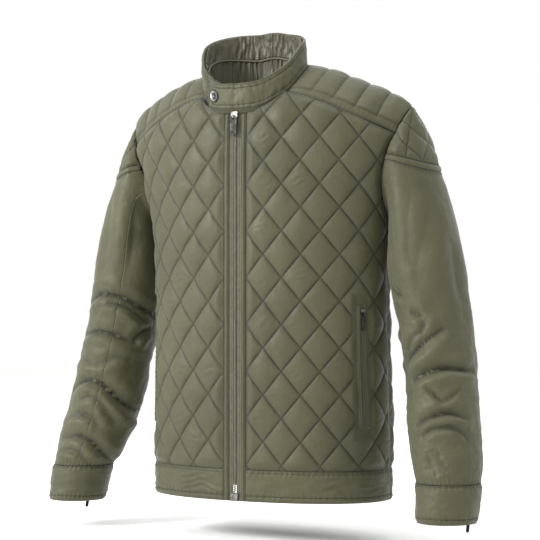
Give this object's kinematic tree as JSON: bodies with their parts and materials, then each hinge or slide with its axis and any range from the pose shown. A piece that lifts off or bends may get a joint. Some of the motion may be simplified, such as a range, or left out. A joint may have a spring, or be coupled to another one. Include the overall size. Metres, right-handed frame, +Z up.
{
  "type": "quilted jacket",
  "caption": "Stand-collar zip jacket in diamond-quilted cloth with plain sleeves, filled out as worn, with a snap tab, zipped pockets and zipped cuffs.",
  "frame": {"origin": "middle of the neck, level with the tops of the shoulders, where the wearer holds the jacket up", "axes": "+Z up, -Y to the front of the jacket, +X to the wearer's left"},
  "size_m": [0.746, 0.2419, 0.7696],
  "materials": {
    "quilted_cloth": "olive nylon, diamond quilted, soft sheen",
    "plain_cloth": "olive nylon, plain, soft sheen",
    "lining": "olive lining cloth, gathered",
    "zip_tape": "woven tape",
    "zip_coil": "moulded coil",
    "slider_metal": "nickel-dark, worn bright",
    "pull_metal": "gunmetal",
    "snap_metal": "dark with a bright worn rim"
  },
  "bodies": {
    "jacket": {"front_left": "quilted_cloth", "front_right": "quilted_cloth", "back": "quilted_cloth", "yoke_left": "quilted_cloth", "yoke_right": "quilted_cloth", "upper_sleeve_left": "plain_cloth", "upper_sleeve_right": "plain_cloth", "under_sleeve_left": "plain_cloth", "under_sleeve_right": "plain_cloth", "sleeve_cap_left": "quilted_cloth", "sleeve_cap_right": "quilted_cloth", "cap_band_left": "plain_cloth", "cap_band_right": "plain_cloth", "cuff_left": "plain_cloth", "cuff_right": "plain_cloth", "hem_band_left": "plain_cloth", "hem_band_right": "plain_cloth", "hem_band_back": "plain_cloth", "collar": "plain_cloth", "collar_lining": "lining", "neck_piping": "lining", "back_lining": "lining", "snap_cap": "snap_metal", "zip_welt_left": "plain_cloth", "zip_welt_right": "plain_cloth", "zip_tape_left": "zip_tape", "zip_tape_right": "zip_tape", "zip_coil": "zip_coil", "zip_box": "slider_metal", "zip_slider": "slider_metal", "pocket_welt_front_left": "plain_cloth", "pocket_welt_front_right": "plain_cloth", "pocket_welt_side_left": "plain_cloth", "pocket_welt_side_right": "plain_cloth", "pocket_coil_left": "zip_coil", "pocket_coil_right": "zip_coil", "pocket_slider_left": "slider_metal", "pocket_slider_right": "slider_metal", "cuff_coil_left": "zip_coil", "cuff_coil_right": "zip_coil", "cuff_slider_left": "slider_metal", "cuff_slider_right": "slider_metal"},
    "zip_pull": {"zip_pull": "pull_metal"},
    "pocket_pull_left": {"pocket_pull_left": "pull_metal"},
    "pocket_pull_right": {"pocket_pull_right": "pull_metal"},
    "cuff_pull_left": {"cuff_pull_left": "pull_metal"},
    "cuff_pull_right": {"cuff_pull_right": "pull_metal"}
  },
  "joints": [
    {"name": "zip_pull_hinge", "type": "hinge", "parent": "jacket", "child": "zip_pull", "pos_m": [0, -0.10926, -0.08687], "axis": [-1, 0, 0], "range_deg": [0, 120]},
    {"name": "pocket_pull_left_hinge", "type": "hinge", "parent": "jacket", "child": "pocket_pull_left", "pos_m": [0.18787, -0.04139, -0.388], "axis": [-0.5469, -0.8372, 0.0021], "range_deg": [0, 150]},
    {"name": "pocket_pull_right_hinge", "type": "hinge", "parent": "jacket", "child": "pocket_pull_right", "pos_m": [-0.18787, -0.04139, -0.388], "axis": [-0.5469, 0.8372, -0.0021], "range_deg": [0, 150]},
    {"name": "cuff_pull_left_hinge", "type": "hinge", "parent": "jacket", "child": "cuff_pull_left", "pos_m": [0.34059, -0.00126, -0.68739], "axis": [0.9625, -0.2489, 0.1081], "range_deg": [0, 150]},
    {"name": "cuff_pull_right_hinge", "type": "hinge", "parent": "jacket", "child": "cuff_pull_right", "pos_m": [-0.34059, -0.00126, -0.68739], "axis": [0.9625, 0.2489, -0.1081], "range_deg": [0, 150]}
  ]
}
